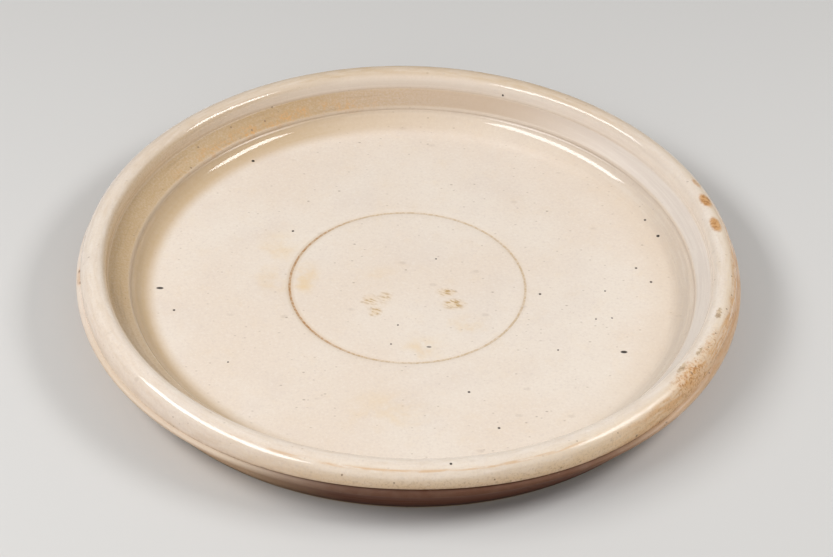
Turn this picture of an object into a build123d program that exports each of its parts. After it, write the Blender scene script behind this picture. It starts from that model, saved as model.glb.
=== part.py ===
from build123d import *

import os
from math import atan2, degrees, dist, radians, tan

# Glazed stoneware plant saucer, in millimetres: a fired clay dish under one fused coat of glaze.
# Z is the turning axis, Z = 0 is the table and the origin is the middle of the foot.

os.makedirs("parts", exist_ok=True)

# Overall sizes of the finished, glazed dish
rim_diameter = 300.0
rim_height = 30.0
floor_height = 9.5

# Glaze: its thickness and the height at which it stops above the table
glaze_thickness = 0.5
bare_foot_height = 1.5

# Bead along the rim: a quarter round on each side of a narrow land on the crest
bead_radius = 6.6
bead_set_back = 2.0
crest_land = 0.4
inner_lip_radius = 4.6
inner_face_angle = 86.0
inner_face_land = 0.3

# Groove that parts the bead from the roll below it
lip_height = 1.4
groove_depth = 1.1
groove_opening = 0.7

# Outer wall: roll, upright land, the turn under it and the long bevel down to the foot
roll_radius = 2.8
wall_land = 0.2
turn_radius = 1.6
foot_inset = 14.2
foot_edge_radius = 0.8

# Underside: the ring that stands on the table and the shallow turned recess inside it
foot_ring_width = 18.0
foot_recess_depth = 0.8

# Inside wall: shoulder below the bead, ridge at its foot and the cove down to the floor
ridge_inset = 21.7
well_depth = 7.3
shoulder_angle = 32.0
shoulder_fillet = 0.8
ridge_fillet = 0.9
cove_angle = 62.7
cove_radius = 9.5

# Lines cut in the clay: one under the ridge and one ring on the floor
crease_drop = 1.8
crease_width = 0.8
crease_depth = 0.3
floor_ring_diameter = 107.2
floor_ring_width = 1.0
floor_ring_depth = 0.35

# The section is drawn a little past the axis and trimmed there, so the glaze keeps its thickness
axis_overrun = 5.0


def crossing(start, start_angle, end, end_angle):
    """Point where the line from start at start_angle meets the line through end at end_angle."""
    start_slope = tan(radians(start_angle))
    end_slope = tan(radians(end_angle))
    rise = end[1] - start[1] + start_slope * start[0] - end_slope * end[0]
    across = rise / (start_slope - end_slope)
    return (across, start[1] + start_slope * (across - start[0]))


def tangent_length(radius, turn_angle):
    """Length that an arc of this radius takes up on each side of a corner turning by turn_angle."""
    return radius * tan(radians(turn_angle / 2))


def line_cutter(width, depth):
    """Radius of the round tool that cuts a line of this width and depth, and its lift off the surface."""
    radius = (width**2 / 4 + depth**2) / (2 * depth)
    return radius, radius - depth


# Corners of the section, as (distance from the axis, height)
rim_radius = rim_diameter / 2
bead_face = rim_radius - bead_set_back
groove_height = rim_height - bead_radius - lip_height
roll_top = groove_height - groove_opening
wall_foot = roll_top - roll_radius - wall_land
foot_radius = rim_radius - foot_inset
recess_radius = foot_radius - foot_ring_width
lip_land = tangent_length(inner_lip_radius, inner_face_angle)
turn_drop = tangent_length(turn_radius, degrees(atan2(foot_inset, wall_foot)))

ridge = (rim_radius - ridge_inset, floor_height + well_depth)
cove_corner = (ridge[0] - well_depth / tan(radians(cove_angle)), floor_height)
inner_lip = (bead_face - bead_radius - crest_land - lip_land, rim_height)
shoulder_corner = crossing(ridge, shoulder_angle, inner_lip, inner_face_angle)
outer_crest = (bead_face, rim_height)
bead_lip = (bead_face, groove_height)
groove_bottom = (bead_face - groove_depth, groove_height - groove_opening / 2)
roll_corner = (rim_radius, roll_top)
bevel_corner = (rim_radius, wall_foot - turn_drop)
foot_edge = (foot_radius, 0)
recess_edge = (recess_radius, 0)
recess_corner = (recess_radius - foot_recess_depth, foot_recess_depth)

# Inner lip's rounding, as far as the face below it leaves room beside the shoulder's fillet and a land
shoulder_reach = tangent_length(shoulder_fillet, inner_face_angle - shoulder_angle)
lip_room = dist(inner_lip, shoulder_corner) - shoulder_reach - inner_face_land
lip_rounding = inner_lip_radius * min(1, lip_room / lip_land)

# Each corner of the closed outline with the radius that rounds it
outline = [
    ((-axis_overrun, floor_height), 0),
    (cove_corner, cove_radius),
    (ridge, ridge_fillet),
    (shoulder_corner, shoulder_fillet),
    (inner_lip, lip_rounding),
    (outer_crest, bead_radius),
    (bead_lip, 0),
    (groove_bottom, 0),
    (roll_corner, roll_radius),
    (bevel_corner, turn_radius),
    (foot_edge, foot_edge_radius),
    (recess_edge, 0),
    (recess_corner, 0),
    ((-axis_overrun, foot_recess_depth), 0),
]
outline_points = [corner for corner, _ in outline]
outline_radii = [radius for _, radius in outline]

# Round tools for the two lines, standing on the floor and on the slope under the ridge
ring_tool, ring_lift = line_cutter(floor_ring_width, floor_ring_depth)
ring_place = (floor_ring_diameter / 2, floor_height + ring_lift)
crease_tool, crease_lift = line_cutter(crease_width, crease_depth)
slope_down = Vector(-1, 0).rotate(Axis.Z, cove_angle)
slope_out = Vector(0, 1).rotate(Axis.Z, cove_angle)
crease_place = Vector(*ridge) + slope_down * crease_drop + slope_out * crease_lift

# Half section of the finished dish, out to the glazed surface
with BuildSketch() as dish_section:
    with BuildLine():
        FilletPolyline(*outline_points, radius=outline_radii, close=True)
    make_face()
    with Locations(ring_place):
        Circle(ring_tool, mode=Mode.SUBTRACT)
    with Locations(crease_place):
        Circle(crease_tool, mode=Mode.SUBTRACT)

# Half section of the glaze: the outer skin of the dish, above the bare foot
with BuildSketch() as glaze_section:
    add(dish_section.sketch)
    add(offset(dish_section.face(), amount=-glaze_thickness, mode=Mode.PRIVATE), mode=Mode.SUBTRACT)
    with Locations((0, bare_foot_height)):
        Rectangle(rim_radius, rim_height, align=(Align.MIN, Align.MIN), mode=Mode.INTERSECT)

# Half section of the clay: the rest of the dish
with BuildSketch() as clay_section:
    add(dish_section.sketch)
    add(glaze_section.sketch, mode=Mode.SUBTRACT)
    Rectangle(rim_radius, rim_height, align=(Align.MIN, Align.MIN), mode=Mode.INTERSECT)

# Fired clay dish with floor, wall, rolled rim and bare foot
with BuildPart() as stoneware_body:
    with BuildSketch(Plane.XZ):
        add(clay_section.sketch)
    revolve(axis=Axis.Z)
stoneware_body.part.label = "stoneware_body"
export_step(stoneware_body.part, "parts/stoneware_body.step")

# Glaze fused over the inside, the rim and the outer wall, down to the bare foot
with BuildPart() as glaze_coat:
    with BuildSketch(Plane.XZ):
        add(glaze_section.sketch)
    revolve(axis=Axis.Z)
glaze_coat.part.label = "glaze_coat"
export_step(glaze_coat.part, "parts/glaze_coat.step")
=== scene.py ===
"""Old glazed stoneware plant saucer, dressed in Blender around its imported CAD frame, in metres."""

import logging
import math
from collections.abc import Sequence
from dataclasses import dataclass
from enum import Enum
from functools import cached_property

import bpy
import numpy as np
from mathutils import Matrix, Vector


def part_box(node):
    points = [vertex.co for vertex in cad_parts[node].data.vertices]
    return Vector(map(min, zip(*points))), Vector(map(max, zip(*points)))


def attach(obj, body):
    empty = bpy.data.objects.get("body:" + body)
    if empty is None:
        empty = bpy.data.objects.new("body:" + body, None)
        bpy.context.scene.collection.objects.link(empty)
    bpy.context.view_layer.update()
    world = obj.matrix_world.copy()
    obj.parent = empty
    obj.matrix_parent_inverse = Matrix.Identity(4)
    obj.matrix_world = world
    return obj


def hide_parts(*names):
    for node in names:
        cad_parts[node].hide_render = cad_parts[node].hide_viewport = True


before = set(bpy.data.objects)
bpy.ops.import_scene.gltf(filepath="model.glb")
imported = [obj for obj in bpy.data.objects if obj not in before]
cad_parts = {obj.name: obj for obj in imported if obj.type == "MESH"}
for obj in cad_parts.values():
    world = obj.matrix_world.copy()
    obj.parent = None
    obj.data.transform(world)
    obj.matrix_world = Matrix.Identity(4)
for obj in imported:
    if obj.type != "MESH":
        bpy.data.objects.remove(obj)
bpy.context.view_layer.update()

MM = 0.001
BODY = "root"
PHOTO_WIDTH = 833
PHOTO_HEIGHT = 557
log = logging.getLogger("plant_saucer")

Colour = tuple[float, float, float]
Pixel = tuple[float, float]


class Blend(Enum):
    """How a colour layer is laid over the colours below it."""

    COVER = "MIX"
    STAIN = "MULTIPLY"


class Wave(Enum):
    """A wave round the turn, as the seed of its draws and its lowest and highest order."""

    CREEP = (11, 1, 3)
    WALL_LINES = (12, 2, 5)
    RING = (14, 1, 6)
    CREASE = (15, 1, 5)
    CHIPS = (21, 60, 110)
    RADIUS = (31, 2, 6)
    HEIGHT = (32, 2, 7)
    GLAZE_EDGE = (33, 5, 40)
    FOOT = (41, 1, 6)


class Shade:
    """One value in a node tree, with Python's arithmetic: each operator adds one Math node."""

    def __init__(self, bench: "NodeBench", socket: bpy.types.NodeSocket) -> None:
        """Keeps the tree's bench and the output socket that carries the value."""
        self.bench = bench
        self.socket = socket

    def math(self, operation: str, *others: "Shade | float") -> "Shade":
        """Adds a Math node.

        Args:
            operation: Blender's name of the operation.
            others: the second and third operands, if the operation takes them.

        Returns:
            The node's result.
        """
        operands = dict(enumerate((self, *others)))
        return self.bench.shade("ShaderNodeMath", {"operation": operation}, operands)

    def __add__(self, other: "Shade | float") -> "Shade":
        """Sum, with the number on either side."""
        return self.math("ADD", other)

    __radd__ = __add__

    def __sub__(self, other: "Shade | float") -> "Shade":
        """Difference."""
        return self.math("SUBTRACT", other)

    def __rsub__(self, other: float) -> "Shade":
        """Difference with a number on the left."""
        return (self * -1.0).math("ADD", other)

    def __mul__(self, other: "Shade | float") -> "Shade":
        """Product, with the number on either side."""
        return self.math("MULTIPLY", other)

    __rmul__ = __mul__

    def __truediv__(self, other: "Shade | float") -> "Shade":
        """Quotient."""
        return self.math("DIVIDE", other)

    def __abs__(self) -> "Shade":
        """Size without sign."""
        return self.math("ABSOLUTE")

    def __or__(self, other: "Shade | float") -> "Shade":
        """The larger of two masks."""
        return self.math("MAXIMUM", other)

    def rise(self, low: float, high: float, top: float = 1.0) -> "Shade":
        """Mask that goes smoothly from 0 at low to its top at high.

        Args:
            low: value where the mask is 0.
            high: value where the mask is at its top; below low, the mask falls instead.
            top: largest value of the mask.

        Returns:
            The mask.
        """
        settings = {"interpolation_type": "SMOOTHSTEP", "clamp": True}
        first, last = (0.0, top) if low < high else (top, 0.0)
        limits = {0: self, 1: min(low, high), 2: max(low, high), 3: first, 4: last}
        return self.bench.shade("ShaderNodeMapRange", settings, limits)

    def band(self, middle: float, half: float, soft: float) -> "Shade":
        """Mask of the values within half of middle, with edges soft wide."""
        return abs(self - middle).rise(half + soft, half)


class NodeBench:
    """One material's node tree, with the one method that adds any node to it."""

    def __init__(self, name: str) -> None:
        """Makes an empty material of that name."""
        self.material = bpy.data.materials.new(name)
        self.material.use_nodes = True
        self.tree = self.material.node_tree
        self.tree.nodes.clear()

    def node(self, kind: str, settings: dict | None = None, inputs: dict | None = None) -> bpy.types.Node:
        """Adds a node.

        Args:
            kind: Blender's type name.
            settings: properties of the node, set first.
            inputs: values or links by socket name or number.

        Returns:
            The new node.
        """
        made = self.tree.nodes.new(kind)
        for key, value in (settings or {}).items():
            setattr(made, key, value)
        for key, value in (inputs or {}).items():
            if isinstance(value, Shade):
                self.tree.links.new(value.socket, made.inputs[key])
            else:
                made.inputs[key].default_value = value
        return made

    def shade(self, kind: str, settings: dict | None = None, inputs: dict | None = None,
              output: str | int = 0) -> Shade:
        """Adds a node and gives one of its outputs, with the arguments of node()."""
        return Shade(self, self.node(kind, settings, inputs).outputs[output])

    def place(self) -> Shade:
        """Object coordinates, in metres."""
        return self.shade("ShaderNodeTexCoord", output="Object")

    def attribute(self, name: str) -> Shade:
        """A number that the mesh carries at its vertices."""
        return self.shade("ShaderNodeAttribute", {"attribute_name": name}, output="Fac")

    def split(self, vector: Shade) -> tuple[Shade, Shade, Shade]:
        """The three numbers of a vector."""
        made = self.node("ShaderNodeSeparateXYZ", None, {0: vector})
        return Shade(self, made.outputs[0]), Shade(self, made.outputs[1]), Shade(self, made.outputs[2])

    def join(self, x: Shade | float, y: Shade | float, z: Shade | float) -> Shade:
        """A vector from three numbers."""
        return self.shade("ShaderNodeCombineXYZ", None, {0: x, 1: y, 2: z})

    def noise(self, place: Shade, grain: float, detail: float = 2.0, rough: float = 0.5) -> Shade:
        """Cloudy noise from 0 to 1.

        Args:
            place: coordinates in metres.
            grain: size of one cloud, in metres.
            detail: number of finer layers.
            rough: share of each finer layer.

        Returns:
            The noise.
        """
        inputs = {"Vector": place, "Scale": 1 / grain, "Detail": detail, "Roughness": rough}
        return self.shade("ShaderNodeTexNoise", {"noise_dimensions": "3D"}, inputs)

    def cells(self, place: Shade, grain: float) -> tuple[Shade, Shade]:
        """Scattered points about grain apart: metres to the nearest, and its own random number."""
        made = self.node("ShaderNodeTexVoronoi", {"feature": "F1"}, {"Vector": place, "Scale": 1 / grain})
        chance = self.split(Shade(self, made.outputs["Color"]))[0]
        return Shade(self, made.outputs["Distance"]) * grain, chance

    def layer(self, below: Shade | Colour, colour: Shade | Colour, mask: Shade | float,
              blend: Blend = Blend.COVER) -> Shade:
        """Lays a colour over another where the mask is 1."""
        settings = {"data_type": "RGBA", "blend_type": blend.value, "clamp_factor": True}
        paint = {0: mask, 6: self.paint(below), 7: self.paint(colour)}
        return self.shade("ShaderNodeMix", settings, paint, output=2)

    def paint(self, colour: Shade | Colour) -> Shade | tuple[float, float, float, float]:
        """A colour as a socket takes it."""
        return colour if isinstance(colour, Shade) else (*colour, 1.0)

    def finish(self, colour: Shade, roughness: Shade, height: Shade, relief: float,
               constants: dict[str, float]) -> bpy.types.Material:
        """Joins colour, roughness and relief in one shader.

        Args:
            colour: base colour.
            roughness: roughness.
            height: relief from 0 to 1.
            relief: depth in metres that the height stands for.
            constants: values that are the same all over, by socket name.

        Returns:
            The material.
        """
        normal = self.shade("ShaderNodeBump", None, {"Strength": 1.0, "Distance": relief, "Height": height})
        inputs = {"Base Color": colour, "Roughness": roughness, "Normal": normal, **constants}
        surface = self.shade("ShaderNodeBsdfPrincipled", None, inputs)
        self.node("ShaderNodeOutputMaterial", None, {"Surface": surface})
        return self.material


class Layers:
    """Colours laid over each other, from the ground up."""

    def __init__(self, bench: NodeBench, ground: Colour) -> None:
        """Starts with the ground's colour."""
        self.bench = bench
        self.colour: Shade | Colour = ground

    def lay(self, colour: Shade | Colour, mask: Shade | float, blend: Blend = Blend.COVER) -> None:
        """Lays a colour over those so far where the mask is 1."""
        self.colour = self.bench.layer(self.colour, colour, mask, blend)


@dataclass(frozen=True)
class PhotoCamera:
    """The photograph's viewpoint: it looks at target from the front, from a height angle, a little rolled."""

    target: tuple[float, float, float] = (3.49 * MM, 15.02 * MM, 1.5 * MM)
    distance: float = 1.4
    elevation: float = 39.37
    roll: float = 1.604
    focal_pixels: float = 3043.0
    sensor_width: float = 36.0
    clip: tuple[float, float] = (0.01, 50.0)

    def axes(self) -> np.ndarray:
        """Right, up and forward unit vectors, one to a row.

        Forward dips by the elevation; right and up are turned about it by the roll.
        """
        dip, turn = math.radians(self.elevation), math.radians(self.roll)
        forward = np.array([0.0, math.cos(dip), -math.sin(dip)])
        level = np.array([1.0, 0.0, 0.0])
        upright = np.array([0.0, math.sin(dip), math.cos(dip)])
        right = math.cos(turn) * level + math.sin(turn) * upright
        up = math.cos(turn) * upright - math.sin(turn) * level
        return np.array([right, up, forward])

    def eye(self) -> np.ndarray:
        """Where the camera stands."""
        return np.array(self.target) - self.distance * self.axes()[2]

    def meet(self, pixel: Pixel, heights: np.ndarray) -> np.ndarray:
        """Points below a pixel of the photograph on level planes.

        Args:
            pixel: column and row in the 833 by 557 frame.
            heights: heights of the planes, in metres.

        Returns:
            X and Y of the point on each plane, one to a row, in metres.
        """
        right, up, forward = self.axes()
        aside = (pixel[0] - PHOTO_WIDTH / 2) / self.focal_pixels
        above = (PHOTO_HEIGHT / 2 - pixel[1]) / self.focal_pixels
        ray = forward + aside * right + above * up
        eye = self.eye()
        return eye[:2] + ((heights - eye[2]) / ray[2])[:, None] * ray[:2]

    def build(self) -> bpy.types.Object:
        """Makes the scene's camera."""
        data = bpy.data.cameras.new("photo_camera")
        data.sensor_width = self.sensor_width
        data.lens = self.focal_pixels * self.sensor_width / PHOTO_WIDTH
        data.clip_start, data.clip_end = self.clip
        camera = bpy.data.objects.new("photo_camera", data)
        right, up, forward = self.axes()
        turned = Matrix(np.array([right, up, -forward]).T.tolist()).to_4x4()
        camera.matrix_world = Matrix.Translation(Vector(self.eye())) @ turned
        bpy.context.scene.collection.objects.link(camera)
        bpy.context.scene.camera = camera
        return camera


@dataclass(frozen=True)
class Corner:
    """A corner of the turned outline: distance from the axis, height, and the radius that rounds it."""

    across: float
    height: float
    radius: float = 0.0

    def point(self) -> np.ndarray:
        """The corner as an array."""
        return np.array([self.across, self.height])


def rounded_path(corners: Sequence[Corner], step: float) -> np.ndarray:
    """Outline through the corners, each replaced by its tangent arc.

    An arc of radius R at a corner of inside angle A starts R / tan(A / 2) before it and ends as far
    after it; its points turn evenly from one tangent point to the other about the arc's centre.

    Args:
        corners: the corners in order, the first and last left sharp.
        step: largest distance between points.

    Returns:
        The points, one to a row, as distance from the axis and height.
    """
    runs = [corners[0].point()[None]]
    for before, corner, after in zip(corners, corners[1:], corners[2:]):
        back = before.point() - corner.point()
        ahead = after.point() - corner.point()
        back /= np.linalg.norm(back)
        ahead /= np.linalg.norm(ahead)
        half = math.acos(float(np.clip(back @ ahead, -1, 1))) / 2
        reach = corner.radius / math.tan(half)
        toward = (back + ahead) / np.linalg.norm(back + ahead)
        middle = corner.point() + toward * (corner.radius / math.sin(half))
        first, last = corner.point() + back * reach - middle, corner.point() + ahead * reach - middle
        turn = math.pi - 2 * half
        share = np.linspace(0, 1, 2 + int(corner.radius * turn / step))[:, None]
        arc = (np.sin((1 - share) * turn) * first + np.sin(share * turn) * last) / math.sin(turn)
        runs.append(middle + arc if corner.radius else corner.point()[None])
    runs.append(corners[-1].point()[None])
    points = np.concatenate(runs)
    length = path_length(points)
    even = np.unique(np.concatenate([length, np.arange(0, length[-1], step)]))
    return np.stack([np.interp(even, length, points[:, k]) for k in (0, 1)], axis=1)


def path_length(points: np.ndarray) -> np.ndarray:
    """Distance along a path at each of its points."""
    return np.concatenate([[0.0], np.cumsum(np.linalg.norm(np.diff(points, axis=0), axis=1))])


def path_normals(points: np.ndarray) -> np.ndarray:
    """Unit normals on the left of a path: its direction turned by a quarter."""
    along = np.gradient(points, axis=0)
    along /= np.maximum(np.linalg.norm(along, axis=1, keepdims=True), 1e-12)
    return np.stack([-along[:, 1], along[:, 0]], axis=1)


def wave(angle: np.ndarray, kind: Wave) -> np.ndarray:
    """Smooth closed wave round the turn: a sum of sines of whole orders with seeded phases, about -1 to 1."""
    seed, first, last = kind.value
    draw = np.random.default_rng(seed)
    orders = np.arange(first, last + 1)
    phases = draw.uniform(0, 2 * math.pi, len(orders))
    sizes = draw.uniform(0.4, 1.0, len(orders)) / np.sqrt(orders)
    return (sizes[:, None] * np.sin(orders[:, None] * angle + phases[:, None])).sum(0) / sizes.sum()


def hump(value: np.ndarray, middle: float, half: float) -> np.ndarray:
    """Round hump of height 1: a raised cosine within half of the middle, and 0 beyond."""
    near = np.clip(np.abs(value - middle) / half, 0, 1)
    return 0.5 + 0.5 * np.cos(math.pi * near)


def sides(angle: np.ndarray, places: Sequence[tuple[float, float]]) -> np.ndarray:
    """Sum of humps round the turn, each by its bearing in degrees and its half width in radians."""
    away = [(angle - math.radians(bearing) + math.pi) % (2 * math.pi) - math.pi for bearing, _ in places]
    return sum(hump(turn, 0.0, half) for turn, (_, half) in zip(away, places))


def turned_mesh(name: str, grid: np.ndarray, carried: dict[str, np.ndarray]) -> bpy.types.Object:
    """Closed mesh of a turned surface with a pole at each end.

    Rows of the grid go along the outline and columns round the axis; the first and last rows are
    drawn together into single points, and neighbouring columns close the ring.

    Args:
        name: the piece's name.
        grid: points as rows, columns, xyz.
        carried: numbers for each row and column, stored at the vertices by name.

    Returns:
        The piece's object.
    """
    rows, columns, _ = grid.shape
    ring = grid[1:-1].reshape(-1, 3)
    vertices = np.concatenate([grid[:1].mean(axis=1), ring, grid[-1:].mean(axis=1)])
    number = 1 + np.arange((rows - 2) * columns).reshape(rows - 2, columns)
    beside = np.roll(number, -1, axis=1)
    quads = np.stack([number[:-1], number[1:], beside[1:], beside[:-1]], axis=-1).reshape(-1, 4)
    start = np.stack([np.zeros(columns, int), number[0], beside[0]], axis=-1)
    end = np.stack([number[-1], np.full(columns, len(vertices) - 1), beside[-1]], axis=-1)
    mesh = bpy.data.meshes.new(name)
    mesh.from_pydata(vertices.tolist(), [], start.tolist() + quads.tolist() + end.tolist())
    mesh.polygons.foreach_set("use_smooth", np.ones(len(mesh.polygons), bool))
    for label, values in carried.items():
        flat = np.concatenate([values[:1, 0], values[1:-1].ravel(), values[-1:, 0]])
        mesh.attributes.new(label, "FLOAT", "POINT").data.foreach_set("value", flat.astype(np.float32))
    mesh.update()
    piece = bpy.data.objects.new(name, mesh)
    bpy.context.scene.collection.objects.link(piece)
    return piece


@dataclass(frozen=True)
class Outline:
    """Sizes of the dish's turned outline, from the middle of the floor over the rim to the foot."""

    rim_radius: float
    rim_height: float
    floor_height: float = 9.5 * MM
    bead_radius: float = 6.6 * MM
    bead_set_back: float = 2.0 * MM
    crest_land: float = 0.4 * MM
    inner_lip_radius: float = 4.6 * MM
    inner_face_angle: float = 86.0
    lip_height: float = 1.4 * MM
    groove_depth: float = 1.1 * MM
    groove_opening: float = 0.7 * MM
    roll_radius: float = 2.8 * MM
    wall_land: float = 0.2 * MM
    turn_radius: float = 1.6 * MM
    foot_inset: float = 14.2 * MM
    ridge_inset: float = 21.7 * MM
    well_depth: float = 7.3 * MM
    shoulder_angle: float = 32.0
    shoulder_fillet: float = 0.8 * MM
    ridge_fillet: float = 0.9 * MM
    cove_angle: float = 62.7
    cove_radius: float = 9.5 * MM
    foot_ring_width: float = 18.0 * MM
    foot_recess_depth: float = 0.8 * MM
    foot_edge_radius: float = 0.8 * MM

    @property
    def bead_face(self) -> float:
        """Distance of the bead's outer face from the axis."""
        return self.rim_radius - self.bead_set_back

    @property
    def groove_height(self) -> float:
        """Height of the bead's lower lip."""
        return self.rim_height - self.bead_radius - self.lip_height

    @property
    def ridge(self) -> Corner:
        """Ridge between the shoulder and the cove."""
        height = self.floor_height + self.well_depth
        return Corner(self.rim_radius - self.ridge_inset, height, self.ridge_fillet)

    @property
    def foot_radius(self) -> float:
        """Distance of the foot's edge from the axis."""
        return self.rim_radius - self.foot_inset

    def inside(self) -> list[Corner]:
        """Corners from the middle of the floor to the crest's inner lip."""
        ridge = self.ridge
        shoulder = math.tan(math.radians(self.shoulder_angle))
        face = math.tan(math.radians(self.inner_face_angle))
        lip_land = self.inner_lip_radius * math.tan(math.radians(self.inner_face_angle / 2))
        lip = self.bead_face - self.bead_radius - self.crest_land - lip_land
        rise = self.rim_height - ridge.height + shoulder * ridge.across - face * lip
        meet = rise / (shoulder - face)
        cove = ridge.across - self.well_depth / math.tan(math.radians(self.cove_angle))
        return [
            Corner(0.0, self.floor_height),
            Corner(cove, self.floor_height, self.cove_radius),
            ridge,
            Corner(meet, ridge.height + shoulder * (meet - ridge.across), self.shoulder_fillet),
            Corner(lip, self.rim_height, self.inner_lip_radius),
        ]

    def outside(self) -> list[Corner]:
        """Corners from the crest's outer side down to the foot's edge."""
        roll_top = self.groove_height - self.groove_opening
        wall_foot = roll_top - self.roll_radius - self.wall_land
        bevel = wall_foot - self.turn_radius * math.tan(math.atan2(self.foot_inset, wall_foot) / 2)
        return [
            Corner(self.bead_face, self.rim_height, self.bead_radius),
            Corner(self.bead_face, self.groove_height),
            Corner(self.bead_face - self.groove_depth, self.groove_height - self.groove_opening / 2),
            Corner(self.rim_radius, roll_top, self.roll_radius),
            Corner(self.rim_radius, bevel, self.turn_radius),
            Corner(self.foot_radius, 0.0),
        ]

    def underside(self) -> list[Corner]:
        """Corners from the foot's edge to the middle of the recess."""
        recess = self.foot_radius - self.foot_ring_width
        return [
            Corner(self.foot_radius, 0.0, self.foot_edge_radius),
            Corner(recess, 0.0),
            Corner(recess - self.foot_recess_depth, self.foot_recess_depth),
            Corner(0.0, self.foot_recess_depth),
        ]


@dataclass(frozen=True)
class Fleck:
    """A mark on the glaze, by the pixel where it shows, and its radii.

    On the floor the radii lie along X and Y; elsewhere they lie round the dish and along its outline.
    """

    pixel: Pixel
    across: float
    along: float
    strength: float = 1.0


@dataclass(frozen=True)
class Chip:
    """A small flake off an edge, by the pixel where it shows."""

    pixel: Pixel
    length: float
    depth: float

    def fleck(self) -> Fleck:
        """The mark that the flake leaves."""
        return Fleck(self.pixel, 1.1 * self.length, 0.36 * self.length)


def flecks(*rows: tuple[float, float, float, Sequence[Pixel]]) -> tuple[Fleck, ...]:
    """Marks from rows of a radius across and one along, in millimetres, a strength, and pixels."""
    return tuple(
        Fleck(pixel, across * MM, along * MM, strength)
        for across, along, strength, pixels in rows
        for pixel in pixels
    )


IRON_SPECKS = flecks(
    (0.70, 0.70, 1.0, ((174, 310), (293, 231), (540, 294), (469, 392))),
    (0.70, 0.70, 1.0, ((499, 428), (645, 220), (636, 268), (651, 282))),
    (0.52, 0.52, 1.0, ((228, 362), (436, 259), (398, 325), (391, 344))),
    (0.52, 0.52, 1.0, ((605, 291), (596, 319), (612, 318), (558, 350))),
    (0.95, 0.95, 1.0, ((253, 161), (658, 236))),
    (1.9, 0.9, 1.0, ((160, 288),)),
    (1.8, 1.0, 1.0, ((624, 352),)),
    (1.3, 0.6, 0.8, ((429, 347),)),
    (0.7, 0.7, 1.0, ((451, 464),)),
    (0.6, 0.7, 1.0, ((503, 95),)),
)
RIM_GRAINS = flecks(
    (0.6, 0.6, 1.0, ((732, 276), (732, 295), (727, 309), (716, 333), (709, 347), (710, 372), (696, 366))),
    (0.5, 1.5, 1.0, ((692, 373),)),
    (0.9, 0.8, 1.0, ((637, 433), (667, 421))),
    (0.5, 0.5, 1.0, ((649, 436), (618, 433), (577, 441), (660, 419), (665, 424))),
    (0.6, 0.6, 1.0, ((323, 482), (394, 483), (495, 479), (342, 475), (560, 473), (550, 474))),
    (1.2, 0.7, 1.0, ((79, 271), (80, 282))),
    (0.7, 0.7, 1.0, ((272, 107), (198, 147), (191, 168), (265, 121), (231, 127), (252, 130))),
)
TAN_PATCHES = flecks(
    (8.0, 16.0, 1.0, ((307, 277),)),
    (12.0, 18.0, 0.5, ((276, 277),)),
    (14.0, 18.0, 0.5, ((280, 246),)),
    (13.0, 10.0, 0.8, ((424, 346),)),
    (26.0, 18.0, 0.5, ((388, 408),)),
    (12.0, 9.0, 0.6, ((467, 323),)),
    (14.0, 10.0, 0.35, ((382, 275),)),
)
SCRATCHES = flecks(
    (5.0, 6.0, 0.7, ((370, 300),)),
    (4.5, 5.5, 0.6, ((385, 297),)),
    (4.0, 5.0, 1.0, ((375, 311),)),
    (6.0, 3.5, 0.9, ((447, 292),)),
    (7.0, 5.0, 1.0, ((454, 304),)),
)
RIM_SPOTS = flecks(
    (6.4, 3.5, 1.0, ((706, 200),)),
    (6.8, 3.4, 1.0, ((716, 224),)),
    (4.4, 2.4, 0.55, ((697, 183),)),
    (8.0, 2.2, 0.35, ((79, 276),)),
)
RUST_PATCH = flecks(
    (20.0, 11.0, 1.0, ((694, 377),)),
    (16.0, 4.5, 0.5, ((712, 345),)),
)
LIP_CHIPS = (
    Chip((682, 368), 4.0 * MM, 0.35 * MM),
    Chip((700, 351), 3.2 * MM, 0.28 * MM),
    Chip((719, 313), 3.6 * MM, 0.25 * MM),
)


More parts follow.
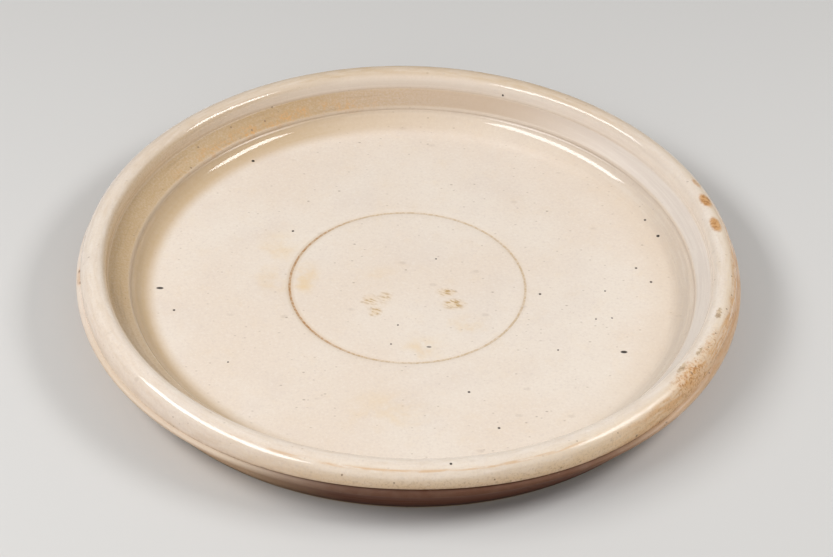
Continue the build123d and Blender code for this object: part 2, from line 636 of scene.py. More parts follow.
@dataclass
class GlazeCoat:
    """The fused glaze: a thin closed shell whose outer face is the dish's finished surface."""

    outline: Outline
    camera: PhotoCamera
    thickness: float = 0.5 * MM
    bare_foot: float = 1.5 * MM
    columns: int = 540
    rows: int = 136
    hidden_rows: int = 46
    ring_radius: float = 53.6 * MM
    ring_width: float = 1.1 * MM
    ring_depth: float = 0.30 * MM
    crease_drop: float = 1.8 * MM
    crease_width: float = 0.9 * MM
    crease_depth: float = 0.32 * MM
    well_offset: float = 1.9 * MM
    ring_offset: float = -0.5 * MM
    front_lip_offset: float = 1.4 * MM
    front_tuck: float = 1.5 * MM
    groove_dip: float = 2.1 * MM
    wall_line_pitch: float = 0.62 * MM
    wall_line_depth: float = 0.022 * MM
    floor_line_pitch: float = 1.15 * MM
    floor_line_depth: float = 0.012 * MM
    radius_waver: float = 0.12 * MM
    height_waver: float = 0.10 * MM
    edge_run: float = 0.45 * MM
    tucked_sides: tuple[tuple[float, float], ...] = ((267.0, 1.0),)
    filled_sides: tuple[tuple[float, float], ...] = ((205.0, 1.3), (-15.0, 0.8))
    dipped_sides: tuple[tuple[float, float], ...] = ((225.0, 0.9), (308.0, 0.7))

    @cached_property
    def path(self) -> np.ndarray:
        """Fine outline from the middle of the floor to where the glaze stops above the foot."""
        whole = rounded_path(self.outline.inside() + self.outline.outside(), 0.1 * MM)
        bottom = np.argmax((whole[:, 1] < self.bare_foot) & (whole[:, 0] > self.outline.foot_radius))
        return whole[:bottom]

    @cached_property
    def length(self) -> np.ndarray:
        """Distance along the outline at each of its points."""
        return path_length(self.path)

    @cached_property
    def marks(self) -> dict[str, float]:
        """Distances along the outline of the places that the relief and the finish follow."""
        outline, ridge = self.outline, self.outline.ridge
        bead, slope = outline.bead_face, math.radians(outline.cove_angle)
        shoulder, lip = outline.inside()[3], outline.inside()[4]
        places = {
            "ring": (self.ring_radius, outline.floor_height),
            "cove": (ridge.across - outline.cove_radius, outline.floor_height),
            "crease": (ridge.across - self.crease_drop * math.cos(slope),
                       ridge.height - self.crease_drop * math.sin(slope)),
            "ridge": (ridge.across, ridge.height),
            "shoulder": (shoulder.across, shoulder.height),
            "lip": (lip.across, lip.height),
            "crest": (bead - outline.bead_radius, outline.rim_height),
            "groove": (bead - outline.groove_depth, outline.groove_height),
            "roll": (outline.rim_radius, outline.groove_height - 4 * MM),
        }
        away = {name: np.hypot(*(self.path - place).T) for name, place in places.items()}
        found = {name: float(self.length[np.argmin(far)]) for name, far in away.items()}
        return found | {"end": float(self.length[-1])}

    def strike(self, pixel: Pixel) -> tuple[float, np.ndarray]:
        """Where the camera's ray through a pixel of the photograph meets the dish.

        At the height of each point of the outline, the ray's distance from the axis less the outline's
        changes sign where the ray meets the surface; the highest such place is the one that shows.

        Returns:
            Distance along the outline, and X and Y of the point.
        """
        points = self.camera.meet(pixel, self.path[:, 1])
        beyond = np.hypot(points[:, 0] - self.sway(self.length), points[:, 1]) > self.path[:, 0]
        places = np.nonzero(np.diff(beyond))[0]
        place = places[np.argmax(self.path[places, 1])]
        return float(self.length[place]), points[place]

    def stations(self, rows: int) -> np.ndarray:
        """Places of a number of rows along the outline, closer where it bends and at the cut lines.

        The rows are even steps of a running sum, whose rate is a base rate plus the outline's bending
        per length plus humps at the ring and the crease.
        """
        length, marks = self.length, self.marks
        bend = np.linalg.norm(np.gradient(path_normals(self.path), axis=0), axis=1) / np.gradient(length)
        bend = np.convolve(bend, np.ones(9) / 9, mode="same")
        widest, finest, turn, reach = 4.5 * MM, 0.30 * MM, 0.16, 1.6 * MM
        rate = 1 / widest + np.minimum(bend / turn, 1 / finest)
        rate += hump(length, marks["ring"], reach) / (0.18 * MM)
        rate += hump(length, marks["crease"], reach) / (0.22 * MM)
        rate += ((length > marks["ridge"]) & (length < marks["roll"])) / (1.1 * MM)
        total = np.concatenate([[0.0], np.cumsum(0.5 * (rate[1:] + rate[:-1]) * np.diff(length))])
        return np.interp(np.linspace(0, total[-1], rows), total, length)

    def sample(self, values: np.ndarray, places: np.ndarray) -> np.ndarray:
        """Pairs of numbers given at the outline's points, read at places along it."""
        return np.stack([np.interp(places, self.length, values[:, k]) for k in (0, 1)], axis=1)

    def hidden(self, depth: float) -> tuple[np.ndarray, np.ndarray]:
        """Rows of a hidden face that lies a depth below the outline and passes the groove by.

        Args:
            depth: how far below the outline the face lies.

        Returns:
            Places along the outline and the points there, both from the middle of the floor outwards.
        """
        deep = self.path - path_normals(self.path) * depth
        beside = (self.length > self.marks["crest"] + 7 * MM) & (self.length < self.marks["roll"])
        deep[beside, 0] = self.outline.bead_face - self.outline.groove_depth - depth
        deep[beside, 1] = self.path[beside, 1]
        places = self.stations(self.hidden_rows)
        places[-1] = self.marks["end"] - 0.3 * MM
        return places, self.sample(deep, places)

    def relief(self, along: np.ndarray, angle: np.ndarray) -> np.ndarray:
        """Height of the surface over the true outline: turning lines, the cut ring and the crease.

        Turning lines are sines of the distance along the wall whose phase creeps round the turn; the
        cut lines are negative humps whose depth wavers with the angle.
        """
        rows, marks = along[:, None], self.marks
        wall = np.clip((rows - marks["ridge"]) / (2 * MM), 0, 1)
        wall = wall * np.clip((marks["lip"] - rows) / (2 * MM), 0, 1)
        creep = angle + 0.8 * wave(angle, Wave.CREEP)
        lines = np.sin(rows / self.wall_line_pitch + creep) * (0.6 + 0.4 * wave(angle, Wave.WALL_LINES))
        height = self.wall_line_depth * wall * lines
        floor = np.clip((marks["cove"] - rows) / (8 * MM), 0, 1)
        height += self.floor_line_depth * floor * np.sin(rows / self.floor_line_pitch - angle)
        ring_depth = self.ring_depth * (0.8 + 0.35 * wave(angle, Wave.RING))
        height -= ring_depth * hump(rows, marks["ring"], self.ring_width)
        crease_depth = self.crease_depth * (0.75 + 0.4 * wave(angle, Wave.CREASE))
        return height - crease_depth * hump(rows, marks["crease"], self.crease_width)

    def chips(self, grid: np.ndarray, along: np.ndarray, angle: np.ndarray) -> np.ndarray:
        """Depth of the flakes off the lip: humps round each chip's place, broken by the angle's wave."""
        depth = np.zeros(grid.shape[:2])
        upper = ((along > self.marks["shoulder"]) & (along < self.marks["groove"]))[:, None]
        ragged = 1 + 0.35 * wave(angle, Wave.CHIPS)
        for chip in LIP_CHIPS:
            x, y = self.strike(chip.pixel)[1]
            away = np.hypot(grid[..., 0] - x, grid[..., 1] - y)
            depth += upper * chip.depth * hump(away * ragged, 0.0, chip.length)
        return depth

    def sway(self, along: np.ndarray) -> np.ndarray:
        """How far each row is off the axis along X, because the well was pressed a little off centre."""
        places = [0.0, *(self.marks[name] for name in ("ring", "cove", "ridge", "shoulder", "crest"))]
        ring, well = self.ring_offset, self.well_offset
        return np.interp(along, places, [ring, ring, well, well, 0.2 * well, 0.0])

    def tuck(self, along: np.ndarray, angle: np.ndarray) -> np.ndarray:
        """How far the roll is drawn in under the bead: a hump at the front, fading at the foot."""
        below = np.clip((along - self.marks["groove"]) / (1.2 * MM), 0, 1)
        below = below * np.clip((self.marks["end"] - along) / (9 * MM), 0, 1)
        return self.front_tuck * np.outer(below, sides(angle, self.tucked_sides))

    def unevenness(self, across: np.ndarray, level: np.ndarray, along: np.ndarray,
                   angle: np.ndarray) -> tuple[np.ndarray, np.ndarray]:
        """The hand's unevenness outside, never beyond the true outline.

        The groove is filled towards the left and the right, dips where humps of the bearing say and
        draws the roll in under the bead at the front; radius and height waver inwards; the lower edge
        of the glaze runs.

        Args:
            across: distance from the axis of each row and column.
            level: height of each row and column.
            along: distance along the outline of each row.
            angle: bearing of each column.

        Returns:
            The new distances from the axis and heights.
        """
        marks, rows, groove = self.marks, along[:, None], self.outline.groove_height
        outer = rows > marks["crest"]
        fuller = np.clip(1.6 * sides(angle, self.filled_sides), 0, 0.95)
        fill = np.clip(self.outline.bead_face - 0.15 * MM - across, 0, None)
        beside = outer & (level < groove + 1 * MM) & (level > groove - 2 * MM)
        across = across + np.where(beside, fuller * fill, 0.0)
        across = across - self.tuck(along, angle)
        dip = sides(angle, self.dipped_sides)
        span = np.where(level > groove, 5.0 * MM, 3.4 * MM)
        near = np.clip(1 - np.abs(level - groove) / span, 0, 1)
        level = level - outer * self.groove_dip * dip * near
        rim = np.clip((rows - marks["ridge"]) / (marks["crest"] - marks["ridge"]), 0, 1)
        across = across - rim * self.radius_waver * (1 + wave(angle, Wave.RADIUS))
        high = np.clip(level / self.outline.rim_height, 0, 1)
        level = level - rim * self.height_waver * (1 + wave(angle, Wave.HEIGHT)) * high
        bevel = np.clip((rows - marks["end"] + 6 * MM) / (6 * MM), 0, 1)
        run = self.edge_run * bevel * wave(angle, Wave.GLAZE_EDGE)
        slope = self.path[-1] - self.path[-40]
        slope = slope / np.linalg.norm(slope)
        return across + run * slope[0], level + run * slope[1]

    def surface(self) -> tuple[np.ndarray, np.ndarray]:
        """Grid of the closed shell and the distance along the outline of each row.

        Each point is the outline's point moved along its normal by the relief and the hand's
        unevenness, turned round the axis and swayed along X. The shell's hidden face is the same
        outline moved inwards by the glaze's thickness.
        """
        along = self.stations(self.rows)
        angle = np.linspace(0, 2 * math.pi, self.columns, endpoint=False)
        point, normal = self.sample(self.path, along), self.sample(path_normals(self.path), along)
        height = self.relief(along, angle)
        across = point[:, :1] + normal[:, :1] * height
        level = point[:, 1:] + normal[:, 1:] * height
        across, level = self.unevenness(across, level, along, angle)
        sway = self.sway(along)[:, None]
        grid = np.stack([across * np.cos(angle) + sway, across * np.sin(angle), level], axis=-1)
        places = [self.marks[name] for name in ("cove", "shoulder", "lip", "crest")]
        lip = np.interp(along, places, [0.0, 1.0, 1.0, 0.0])
        grid[..., 1] += self.front_lip_offset * lip[:, None] * np.clip(-np.sin(angle), 0, 1) ** 2
        grid[..., 2] -= self.chips(grid, along, angle)

        hidden, inner = self.hidden(self.thickness)
        hidden, inner = hidden[::-1], inner[::-1]
        across = inner[:, :1] - self.tuck(hidden, angle)
        turned = np.stack([across * np.cos(angle) + self.sway(hidden)[:, None], across * np.sin(angle),
                           np.repeat(inner[:, 1:], self.columns, axis=1)], axis=-1)
        return np.concatenate([grid, turned]), np.concatenate([along, hidden])

    def build(self) -> bpy.types.Object:
        """Makes the glaze's mesh, which carries the distance along the outline at its vertices."""
        grid, along = self.surface()
        carried = {"along": np.repeat(along[:, None], self.columns, axis=1)}
        piece = turned_mesh("glaze_skin", grid, carried)
        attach(piece, BODY)
        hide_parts("glaze_coat")
        return piece


@dataclass
class StonewareBody:
    """The fired stoneware: it shows as a bare foot ring and a turned recess under the dish."""

    outline: Outline
    glaze: GlazeCoat
    columns: int = 360
    gap: float = 0.06 * MM
    turning_pitch: float = 1.9 * MM
    turning_depth: float = 0.05 * MM

    def surface(self) -> np.ndarray:
        """Grid of the closed stoneware body.

        Its hidden face follows the glaze's inner face; the bare band, foot and recess follow the
        outline, with turning lines that are sines of the distance from the axis, cut inwards only.
        """
        angle = np.linspace(0, 2 * math.pi, self.columns, endpoint=False)
        path = self.glaze.path
        places, hidden = self.glaze.hidden(self.glaze.thickness + self.gap)
        slope = path[-1] + (path[-1] - path[-30]) * 0.02
        under = rounded_path([Corner(slope[0] - 0.25 * MM, slope[1]), *self.outline.underside()], 0.9 * MM)
        points = np.concatenate([hidden, under])
        sway = np.concatenate([self.glaze.sway(places), np.zeros(len(under))])[:, None]
        bottom = under[:, 1] < 1.2 * self.outline.foot_recess_depth
        low = np.concatenate([np.zeros(len(hidden)), bottom])[:, None]
        lines = 0.5 + 0.5 * np.sin(points[:, :1] * 2 * math.pi / self.turning_pitch + angle)
        faint = 0.6 + 0.4 * wave(angle, Wave.FOOT)
        inside = points[:, :1] < self.outline.foot_radius - 2 * MM
        across = points[:, :1] * np.ones_like(angle)
        across[:len(hidden)] -= self.glaze.tuck(places, angle)
        level = points[:, 1:] + self.turning_depth * low * inside * lines * faint
        return np.stack([across * np.cos(angle) + sway, across * np.sin(angle), level], axis=-1)

    def build(self) -> bpy.types.Object:
        """Makes the stoneware's mesh."""
        piece = turned_mesh("stoneware_dish", self.surface(), {})
        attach(piece, BODY)
        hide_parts("stoneware_body")
        return piece


class GlazeField:
    """What every layer of the glaze reads: the place on the dish, bands of its outline, shared noises."""

    def __init__(self, bench: NodeBench, coat: GlazeCoat) -> None:
        """Takes the material's bench and the glaze with its landmarks."""
        self.bench = bench
        self.coat = coat
        self.marks = coat.marks
        self.rim = coat.outline.rim_radius
        self.spot = bench.place()
        self.x, self.y, self.z = bench.split(self.spot)
        self.along = bench.attribute("along")
        self.radius = (self.x * self.x + self.y * self.y).math("SQRT") | 0.1 * MM
        self.clouds = bench.noise(self.spot, 55 * MM, 3.0)
        self.mottle = bench.noise(self.spot, 9 * MM, 4.0, 0.6)
        self.ruffle = bench.noise(self.spot, 2.2 * MM, 3.0, 0.7)
        self.grit = bench.noise(self.spot, 1.3 * MM, 3.0, 0.65)
        self.fine = bench.noise(self.spot, 1.0 * MM, 3.0, 0.7)

    def zone(self, first: float, last: float, soft: float) -> Shade:
        """Mask of the outline from one distance along it to another, with edges soft wide."""
        return self.along.rise(first - soft, first + soft) * self.along.rise(last + soft, last - soft)

    def line(self, middle: float, half: float, soft: float) -> Shade:
        """Mask of a line round the dish at a distance along the outline."""
        return self.along.band(middle, half, soft)

    def facing(self, bearing: float, spread: float) -> Shade:
        """Mask of the side of the dish at a bearing in degrees, fading out at the spread on both sides."""
        turn = math.radians(bearing)
        toward = (self.x * math.cos(turn) + self.y * math.sin(turn)) / self.radius
        return toward.rise(math.cos(math.radians(spread)), math.cos(math.radians(spread / 3)))

    def streaks(self, grain: float, stretch: float) -> Shade:
        """Noise drawn out round the dish: its clouds are grain wide and stretch times as long."""
        scale = self.rim / stretch
        around = self.bench.join(self.x / self.radius * scale, self.y / self.radius * scale, self.along)
        return self.bench.noise(around, grain, 3.0, 0.6)

    def mark(self, fleck: Fleck, plan: Shade, sheet: Shade, soft: float) -> Shade:
        """Mask of one mark: an ellipse on the floor's plan, or on the outline and round the dish.

        Args:
            fleck: the mark.
            plan: X and Y of the surface.
            sheet: X and Y of the surface with the distance along the outline as the third number.
            soft: share of the mark over which it fades.

        Returns:
            The mask, up to the mark's strength.
        """
        along, (x, y) = self.coat.strike(fleck.pixel)
        if along < self.marks["cove"]:
            place, middle, radii = plan, (x, y, 0.0), (fleck.across, fleck.along, 1.0)
        else:
            middle, radii = (x, y, along), (12 * MM, fleck.across, fleck.along)
            turned = {"Vector": sheet, "Center": middle, "Angle": -math.atan2(y, x)}
            place = self.bench.shade("ShaderNodeVectorRotate", {"rotation_type": "Z_AXIS"}, turned)
        scale = [1 / radius for radius in radii]
        shift = [-at * size for at, size in zip(middle, scale)]
        scaled = {0: place, 1: scale, 2: shift}
        away = self.bench.shade("ShaderNodeVectorMath", {"operation": "MULTIPLY_ADD"}, scaled)
        length = self.bench.shade("ShaderNodeVectorMath", {"operation": "LENGTH"}, {0: away}, "Value")
        return length.rise(1.0, 1.0 - soft, top=fleck.strength)

    def several(self, flecks: Sequence[Fleck], ragged: float, soft: float) -> Shade:
        """Mask of several marks together.

        Args:
            flecks: the marks.
            ragged: how far the finer noises push their edges about.
            soft: share of a mark over which it fades.

        Returns:
            The mask.
        """
        x, y = self.x + (self.ruffle - 0.5) * ragged, self.y + (self.mottle - 0.5) * (1.4 * ragged)
        plan = self.bench.join(x, y, 0.0)
        sheet = self.bench.join(x, y, self.along + (self.grit - 0.5) * ragged)
        together = self.mark(flecks[0], plan, sheet, soft)
        for fleck in flecks[1:]:
            together = together | self.mark(fleck, plan, sheet, soft)
        return together


@dataclass(frozen=True)
class GlazeFinish:
    """Warm white glaze, glossy, with iron specks, tan stains, dirt in its lines and wear, and with painted
    shade, light, sheen and reflection in places.
    """

    cream: Colour = (0.81, 0.695, 0.585)
    pale: Colour = (0.835, 0.74, 0.64)
    honey: Colour = (0.80, 0.60, 0.36)
    tan: Colour = (0.60, 0.44, 0.27)
    umber: Colour = (0.50, 0.32, 0.13)
    ochre: Colour = (0.66, 0.35, 0.12)
    rust: Colour = (0.40, 0.17, 0.05)
    earth: Colour = (0.24, 0.15, 0.09)
    iron: Colour = (0.02, 0.015, 0.012)
    mauve: Colour = (0.68, 0.58, 0.52)
    lime: Colour = (0.90, 0.825, 0.755)
    # Rose: pinkish tint laid under the groove as painted reflection of the table.
    rose: Colour = (0.58, 0.41, 0.31)
    # Dark red-brown laid under the bead at the front as painted shade and painted reflection of the table,
    # not the body's own colour.
    shade_brown: Colour = (0.11, 0.031, 0.010)
    # Sienna: orange-brown used as painted shade above the groove at the front and under the bead at the front
    # right.
    sienna: Colour = (0.56, 0.36, 0.20)
    # Drab: grey multiplied over the back slope as painted shade.
    drab: Colour = (0.84, 0.81, 0.78)
    roughness: float = 0.06
    relief: float = 0.08 * MM
    refraction: float = 1.52
    freckles: tuple[tuple[float, float, float, float], ...] = (
        (3.0 * MM, 0.45 * MM, 0.50, 0.32),
        (6.5 * MM, 0.55 * MM, 0.45, 0.50),
        (11.0 * MM, 1.50 * MM, 0.40, 0.14),
        (21.0 * MM, 0.50 * MM, 0.55, 0.65),
    )

    def ground(self, field: GlazeField, layers: Layers) -> None:
        """Paler, warmer and greyer clouds, and freckles as grain, size, rarity and strength."""
        bench = field.bench
        layers.lay(self.pale, field.clouds.rise(0.35, 0.68))
        layers.lay(self.honey, field.mottle.rise(0.48, 0.85) * 0.16)
        layers.lay(self.mauve, bench.noise(field.spot, 24 * MM, 3.0).rise(0.48, 0.75) * 0.18)
        layers.lay(self.mauve, field.grit.rise(0.50, 0.72) * 0.34)
        layers.lay(self.lime, field.grit.rise(0.48, 0.30) * 0.30)
        drawn = bench.join(field.x * 0.6, field.y, field.z)
        for grain, size, rarity, strength in self.freckles:
            away, chance = bench.cells(drawn, grain)
            mask = away.rise(size, 0.35 * size) * chance.rise(rarity, rarity + 0.1)
            layers.lay(self.earth, mask * strength)

    def floor(self, field: GlazeField, layers: Layers) -> None:
        """Soft tan patches, scratchy rust marks and the dirt in the floor's ring."""
        bench, marks = field.bench, field.marks
        patches = field.several(TAN_PATCHES, 9 * MM, 1.0)
        layers.lay(self.honey, patches * field.mottle.rise(0.25, 0.75) * 0.95)
        drawn = bench.join(field.x * 0.45 + field.y * 0.25, field.y * 0.9 + field.x * 0.3, 0.0)
        scratch = bench.noise(drawn, 1.3 * MM, 2.0, 0.6).rise(0.47, 0.60)
        rubbed = field.several(SCRATCHES, 4 * MM, 0.9)
        layers.lay(self.honey, rubbed * 0.45)
        layers.lay(self.umber, rubbed * scratch)
        ring = field.line(marks["ring"], 0.34 * MM, 0.40 * MM)
        broken = 0.45 + 0.8 * field.streaks(1.2 * MM, 3.0).rise(0.35, 0.65)
        rusty = field.facing(185, 75)
        layers.lay(self.tan, field.line(marks["ring"], 0.8 * MM, 1.6 * MM) * (0.10 + 0.25 * rusty))
        layers.lay(self.umber, ring * broken * 0.52)
        layers.lay(self.rust, ring * rusty * broken * 0.55)

    def wall(self, field: GlazeField, layers: Layers) -> None:
        """Tea-coloured stain on the left and back of the wall, lime on its right, dirt in the crease; also
        painted shade on the back slope, in the corner under the bead's inner face, along the crease, in the
        left cove and on the floor by the right cove, painted light on the inner face at the back and a
        painted sheen on the right.
        """
        bench, marks = field.bench, field.marks
        slope = field.zone(marks["ridge"], marks["shoulder"], 1 * MM)
        face = field.zone(marks["shoulder"], marks["lip"], 1.6 * MM)
        wall = slope | face * (0.10 + 0.62 * field.facing(180, 80))
        cove = field.zone(marks["cove"], marks["ridge"], 4 * MM)
        lines = field.streaks(1.3 * MM, 25.0)
        back_left = field.facing(138, 70)
        left = field.facing(170, 105)
        back, front_left = field.facing(80, 60), field.facing(-135, 60)
        # The front-left share of the tea colour darkens the inner face seen beyond the lip: partly stain,
        # partly painted shade.
        tea = 0.46 * left + 0.50 * back_left + 0.44 * back + 0.36 * front_left
        uneven = 0.45 + 0.5 * field.clouds + 0.25 * lines + 0.30 * field.ruffle
        layers.lay(self.tan, wall * tea * uneven)
        layers.lay(self.umber, wall * back_left * uneven * 0.24)
        right = field.facing(5, 70)
        # Tan in the cove, strongest on the left: partly stain, partly painted shadow of the bead.
        layers.lay(self.tan, cove * (0.18 + 0.76 * left + 0.06 * right) * uneven)
        # Painted shade: umber in the corner where the shoulder meets the bead's inner face, strongest on the
        # left.
        corner_shade = field.zone(marks["shoulder"] - 0.6 * MM, marks["shoulder"] + 1.2 * MM, 0.8 * MM)
        layers.lay(self.umber, corner_shade * (0.35 * left | 0.14 * back))
        # Grey-mauve on the back-right wall: partly limescale, partly a painted sheen of the lamps; the tan
        # laid with it is stain.
        back_right = wall * field.facing(66, 52)
        layers.lay(self.mauve, back_right * (0.50 + 0.3 * field.ruffle))
        layers.lay(self.tan, back_right * (0.25 + 0.3 * field.ruffle))
        # Painted shade: the back slope is darkened with a grey multiply.
        layers.lay(self.drab, slope * field.facing(82, 66), Blend.STAIN)
        stained = wall * (left | back_left)
        layers.lay(self.umber, stained * field.fine.rise(0.48, 0.66) * 0.36)
        layers.lay(self.pale, stained * field.fine.rise(0.54, 0.32) * 0.15)
        layers.lay(self.earth, stained * lines.rise(0.54, 0.70) * 0.18)
        low_wall = field.zone(marks["ridge"] - 1 * MM, marks["ridge"] + 5 * MM, 2 * MM)
        burnt = field.facing(124, 30) * low_wall * field.mottle.rise(0.40, 0.64)
        burnt = burnt * field.ruffle.rise(0.36, 0.58) * field.grit.rise(0.36, 0.54)
        layers.lay(self.ochre, burnt * 0.85)
        away, chance = bench.cells(field.spot, 3.4 * MM)
        dots = away.rise(0.45 * MM, 0.2 * MM) * chance.rise(0.6, 0.7) * wall * left
        layers.lay(self.earth, dots * 0.55)
        # Lime on the right wall: partly limescale, partly a painted sheen.
        layers.lay(self.lime, wall * right * 0.62)
        # Painted light: lime lightens the inner face below the lip at the back to the tone of the wall.
        face_light = field.zone(marks["shoulder"] + 0.8 * MM, marks["lip"] - 2 * MM, 1 * MM)
        layers.lay(self.lime, face_light * field.facing(80, 75) * 0.45)
        layers.lay(self.mauve, (wall | cove) * right * lines.rise(0.55, 0.42) * 0.22)
        layers.lay(self.lime, (wall | cove) * right * lines.rise(0.50, 0.66) * 0.22)
        # Painted shade: a soft dark band along the crease, strongest on the left and at the back.
        crease_shade = field.line(marks["crease"], 0.4 * MM, 1.7 * MM)
        layers.lay(self.earth, crease_shade * (0.03 + 0.15 * (left | back)) * (0.6 + 0.8 * field.mottle))
        # Painted shadow: tan on the floor next to the cove on the right, where the bead's shadow falls.
        cove_shadow = field.zone(marks["cove"] - 9 * MM, marks["cove"] + 2 * MM, 7 * MM)
        layers.lay(self.tan, cove_shadow * field.facing(2, 60) * 0.20)
        crease = field.line(marks["crease"], 0.26 * MM, 0.36 * MM)
        layers.lay(self.earth, crease * (0.06 + 0.14 * field.facing(25, 70)) * (0.4 + field.mottle))

    def rim(self, field: GlazeField, layers: Layers) -> None:
        """Warm tint round the bead, the rust-stained right side, the worn crest line and dirty groove; also
        painted shade along the front of the bead above the groove, and painted shade and painted reflection
        of the table under the bead and on the bevel.
        """
        bench, marks = field.bench, field.marks
        bead = field.zone(marks["lip"], marks["groove"], 1.5 * MM)
        outer = field.zone(marks["crest"] + 1.5 * MM, marks["groove"], 2.5 * MM)
        lower = field.zone(marks["groove"] - 5 * MM, marks["groove"], 3 * MM)
        front, back, right = field.facing(-72, 58), field.facing(95, 75), field.facing(-12, 70)
        inner = field.zone(marks["lip"] - 4 * MM, marks["crest"] + 1 * MM, 2 * MM) * field.facing(150, 75)
        warm = bead * (0.04 + 0.26 * back) + outer * (0.10 * right + 0.30 * back)
        warm = warm + lower * front * 0.08 + inner * 0.18 + bead * field.facing(78, 42) * 0.34
        strokes = field.streaks(1.4 * MM, 7.0)
        warm = warm * (0.6 + 0.6 * field.clouds) + bead * strokes.rise(0.46, 0.70) * 0.17
        layers.lay(self.tan, warm)
        golden = outer * (0.34 * right + 0.14 * front) + lower * front * (0.25 + 0.5 * field.ruffle)
        layers.lay(self.honey, golden)
        layers.lay(self.mauve, bead * field.fine.rise(0.48, 0.66) * 0.25)
        layers.lay(self.lime, bead * strokes.rise(0.50, 0.34) * 0.15)
        edge = field.zone(marks["crest"] + 4.5 * MM, marks["crest"] + 17 * MM, 1.8 * MM)
        stain = edge * field.facing(-14, 44) * (0.35 + 0.65 * strokes.rise(0.40, 0.60))
        patch = bead * field.several(RUST_PATCH, 9 * MM, 0.8)
        heavy = patch * (0.30 + 0.35 * field.ruffle + 0.6 * field.fine.rise(0.40, 0.62))
        layers.lay(self.ochre, (stain * 0.78 | heavy * 0.95))
        crumbs = (patch * 0.9 | stain * 0.6) * (field.fine + field.ruffle).rise(1.0, 1.18)
        layers.lay(self.rust, crumbs * 0.80)
        spots = field.several(RIM_SPOTS, 2 * MM, 0.55)
        layers.lay(self.ochre, spots * (0.6 + 0.6 * field.mottle))
        layers.lay(self.rust, spots * field.ruffle.rise(0.42, 0.62) * 0.75)
        worn = field.line(marks["crest"] + 3.4 * MM, 0.25 * MM, 0.65 * MM) * field.facing(-85, 42)
        layers.lay(self.ochre, worn * strokes.rise(0.36, 0.62) * 0.45)
        away, chance = bench.cells(field.spot, 4.2 * MM)
        crust = lower * away.rise(0.8 * MM, 0.3 * MM) * chance.rise(0.5, 0.6)
        layers.lay(self.earth, crust * (0.10 + 0.45 * field.facing(-65, 50)))
        silt = lower * field.facing(-65, 50) * field.fine.rise(0.50, 0.64)
        # Painted shade: orange-brown along the front of the bead just above the groove, where it turns under;
        # the smudge laid on it is dirt.
        shaded_brim = field.zone(marks["groove"] - 1.3 * MM, marks["groove"], 1.3 * MM) * field.facing(-85, 62)
        layers.lay(self.sienna, shaded_brim * (0.30 + 0.7 * field.ruffle))
        smudge = shaded_brim * field.mottle.rise(0.44, 0.60) * field.ruffle.rise(0.36, 0.56)
        layers.lay(self.earth, smudge * 0.55)
        layers.lay(self.umber, silt * 0.45)
        groove = field.line(marks["groove"], 0.55 * MM, 0.6 * MM)
        filled = field.facing(205, 90) | field.facing(-15, 50)
        broken = field.streaks(1.0 * MM, 6.0).rise(0.25, 0.6)
        dirty = 0.20 - 0.17 * filled + 0.60 * field.facing(-85, 48) * broken
        layers.lay(self.earth, groove * dirty)
        # Below the groove the colours are painted shade and painted reflection of the table: a rose tint all
        # round, tan over the bevel, and darker browns at the front right, front left and front.
        under = field.along.rise(marks["groove"] + 0.4 * MM, marks["groove"] + 1.2 * MM)
        layers.lay(self.rose, under * 0.12 * (0.6 + 0.6 * field.clouds))
        bevel = field.along.rise(marks["roll"], marks["roll"] + 4 * MM)
        layers.lay(self.tan, bevel * 0.55)
        layers.lay(self.sienna, under * field.facing(-45, 60) * (0.30 + 0.8 * field.mottle))
        layers.lay(self.tan, under * field.facing(-128, 40) * 0.42)
        # Painted shade and painted reflection: dark red-brown on the front of the roll and bevel, not the
        # body's own colour.
        brown = under * field.facing(-80, 44) * (0.82 + 0.10 * bevel + 0.20 * field.mottle)
        layers.lay(self.shade_brown, brown)

    def dress(self, coat: GlazeCoat) -> bpy.types.Material:
        """Builds the glaze's material.

        Args:
            coat: the glaze, whose landmarks the bands of colour follow.

        Returns:
            The material.
        """
        bench = NodeBench("cream_glaze")
        field = GlazeField(bench, coat)
        marks = field.marks
        layers = Layers(bench, self.cream)
        for part in (self.ground, self.floor, self.wall, self.rim):
            part(field, layers)
        chips = field.several([chip.fleck() for chip in LIP_CHIPS], 4 * MM, 0.5)
        layers.lay(self.tan, chips * 0.75)
        layers.lay(self.earth, chips * field.ruffle.rise(0.42, 0.60) * 0.50)
        upper = field.along.rise(marks["groove"], marks["crest"])
        specks = field.several(IRON_SPECKS, 0.3 * MM, 0.32) * upper
        grains = field.several(RIM_GRAINS, 0.8 * MM, 0.7)
        layers.lay(self.iron, specks * 0.95)
        layers.lay(self.earth, grains * (0.45 + 0.7 * field.ruffle))

        wall = field.zone(marks["ridge"], marks["shoulder"] + 2.5 * MM, 1.2 * MM)
        bead = field.zone(marks["lip"], marks["groove"], 2 * MM)
        stained = bead * field.facing(-25, 40) * field.mottle
        under = field.along.rise(marks["groove"], marks["groove"] + 1 * MM)
        matt = under * (0.25 + 0.45 * field.facing(-90, 60))
        edge = field.zone(marks["crease"] - 0.5 * MM, marks["ridge"] + 2 * MM, 1 * MM)
        dull = wall * 0.30 | edge * 0.34 | bead * field.facing(-48, 30) * 0.09
        roughness = self.roughness + dull + stained * 0.30 + matt + field.grit * 0.04
        peel = bench.noise(field.spot, 8 * MM, 2.0)
        height = peel * 0.6 + field.grit * 0.05 - specks * 0.4 + stained * field.ruffle * 0.5
        return bench.finish(layers.colour, roughness, height, self.relief, {"IOR": self.refraction})


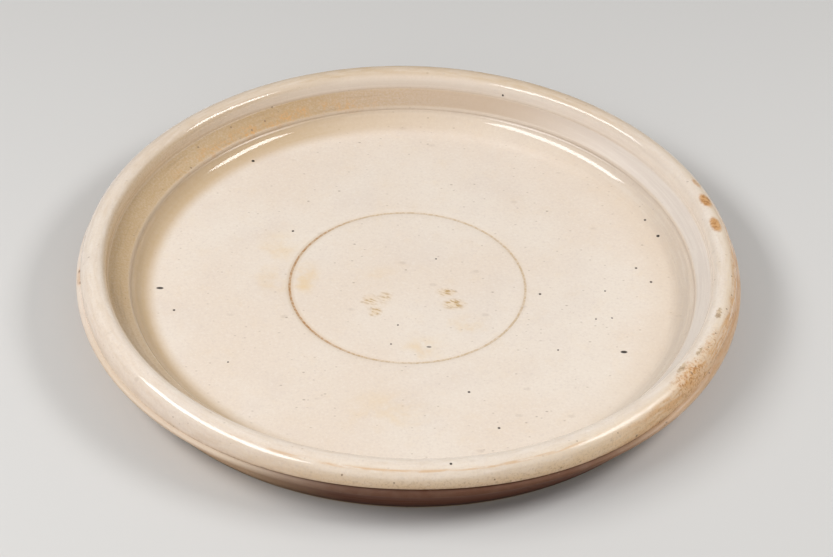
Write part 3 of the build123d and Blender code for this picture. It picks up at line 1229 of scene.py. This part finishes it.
@dataclass(frozen=True)
class StonewareFinish:
    """Bare buff stoneware: matt, sandy, with iron grains and the grey of years on its foot."""

    buff: Colour = (0.50, 0.40, 0.28)
    pale: Colour = (0.60, 0.50, 0.37)
    grain: Colour = (0.20, 0.13, 0.08)
    grime: Colour = (0.26, 0.22, 0.17)
    roughness: float = 0.82
    relief: float = 0.15 * MM
    refraction: float = 1.45

    def dress(self, outline: Outline) -> bpy.types.Material:
        """Builds the stoneware's material.

        Args:
            outline: the dish's outline, which says where the foot ring rubs.

        Returns:
            The material.
        """
        bench = NodeBench("bare_stoneware")
        spot = bench.place()
        x, y, z = bench.split(spot)
        radius = (x * x + y * y).math("SQRT")
        clouds = bench.noise(spot, 45 * MM, 4.0, 0.6)
        sand = bench.noise(spot, 0.9 * MM, 3.0, 0.7)
        streak = bench.noise(bench.join(radius * 6.0, z * 6.0, 0.0), 6 * MM, 3.0, 0.6)
        layers = Layers(bench, self.buff)
        layers.lay(self.pale, clouds.rise(0.35, 0.7))
        layers.lay(self.pale, streak.rise(0.45, 0.75) * 0.5)
        away, chance = bench.cells(spot, 3.0 * MM)
        grains = away.rise(0.45 * MM, 0.2 * MM) * chance.rise(0.5, 0.7)
        layers.lay(self.grain, grains * 0.75)
        rubbed = radius.band(outline.foot_radius - 7 * MM, 6 * MM, 5 * MM) * z.rise(0.6 * MM, 0.1 * MM)
        layers.lay(self.grime, rubbed * clouds.rise(0.3, 0.65) * 0.7)
        roughness = self.roughness - rubbed * 0.15 + sand * 0.08
        height = sand * 0.6 + streak * 0.3 - grains * 0.4
        return bench.finish(layers.colour, roughness, height, self.relief, {"IOR": self.refraction})


@dataclass(frozen=True)
class Softbox:
    """A rectangular studio light: its bearing round the dish, height angle, distance, size and strength."""

    name: str
    bearing: float
    elevation: float
    distance: float
    width: float
    height: float
    watts: float

    def build(self) -> bpy.types.Object:
        """Makes the light, facing the dish."""
        data = bpy.data.lights.new(self.name, "AREA")
        data.shape = "RECTANGLE"
        data.size, data.size_y = self.width, self.height
        data.energy = self.watts
        light = bpy.data.objects.new(self.name, data)
        turn, lift = math.radians(self.bearing), math.radians(self.elevation)
        away = Vector((math.cos(turn) * math.cos(lift), math.sin(turn) * math.cos(lift), math.sin(lift)))
        light.location = away * self.distance
        light.rotation_euler = away.to_track_quat("Z", "Y").to_euler()
        bpy.context.scene.collection.objects.link(light)
        return light


@dataclass(frozen=True)
class Studio:
    """Plain pale floor, two softboxes, a weak fill from the front and an even room light."""

    floor_size: float = 8.0
    floor_colour: Colour = (0.66, 0.65, 0.635)
    floor_bounce: Colour = (0.54, 0.43, 0.34)
    room_colour: Colour = (1.0, 0.99, 0.975)
    room_strength: float = 0.265
    softboxes: tuple[Softbox, ...] = (
        Softbox("left_softbox", 200.0, 48.0, 1.1, 1.00, 0.30, 8.2),
        Softbox("right_softbox", -4.0, 47.0, 1.1, 0.52, 0.26, 5.2),
        Softbox("front_fill", -90.0, 30.0, 1.7, 1.60, 0.80, 2.5),
    )

    def floor(self) -> bpy.types.Object:
        """Makes the floor as one level square."""
        half = self.floor_size / 2
        mesh = bpy.data.meshes.new("studio_floor")
        corners = [(-half, -half, 0), (half, -half, 0), (half, half, 0), (-half, half, 0)]
        mesh.from_pydata(corners, [], [(0, 1, 2, 3)])
        floor = bpy.data.objects.new("studio_floor", mesh)
        bpy.context.scene.collection.objects.link(floor)
        bench = NodeBench("studio_paper")
        spot = bench.place()
        cloud = bench.noise(spot, 0.5, 2.0)
        colour = bench.layer(self.floor_colour, tuple(0.97 * part for part in self.floor_colour), cloud)
        rays = bench.node("ShaderNodeLightPath")
        seen = Shade(bench, rays.outputs["Is Camera Ray"]) | Shade(bench, rays.outputs["Is Glossy Ray"])
        seen = seen | Shade(bench, rays.outputs["Is Transmission Ray"])
        colour = bench.layer(self.floor_bounce, colour, seen)
        grain = bench.noise(spot, 1.0 * MM, 2.0)
        mesh.materials.append(bench.finish(colour, 0.75 + grain * 0.1, grain, 0.02 * MM, {"IOR": 1.4}))
        return floor

    def room(self) -> None:
        """Lights the room evenly from all round."""
        world = bpy.data.worlds.new("studio_room")
        world.use_nodes = True
        background = world.node_tree.nodes["Background"]
        background.inputs["Color"].default_value = (*self.room_colour, 1.0)
        background.inputs["Strength"].default_value = self.room_strength
        bpy.context.scene.world = world

    def build(self) -> None:
        """Sets up the floor, the room and the softboxes, with plain colour in the view."""
        self.floor()
        self.room()
        for softbox in self.softboxes:
            softbox.build()
            log.info("light %s", softbox.name)
        bpy.context.scene.view_settings.view_transform = "Standard"


def main() -> None:
    """Builds the camera, the glaze, the stoneware and the studio in order."""
    logging.basicConfig(level=logging.INFO, format="%(name)s: %(message)s")
    camera = PhotoCamera()
    camera.build()
    low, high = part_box("glaze_coat")
    outline = Outline(rim_radius=(high.x - low.x) / 2, rim_height=high.z)
    coat = GlazeCoat(outline, camera)
    body = StonewareBody(outline, coat)
    skin = coat.build()
    skin.data.materials.append(GlazeFinish().dress(coat))
    log.info("piece %s: %d faces", skin.name, len(skin.data.polygons))
    dish = body.build()
    dish.data.materials.append(StonewareFinish().dress(outline))
    log.info("piece %s: %d faces", dish.name, len(dish.data.polygons))
    Studio().build()


if __name__ == "__main__":
    main()
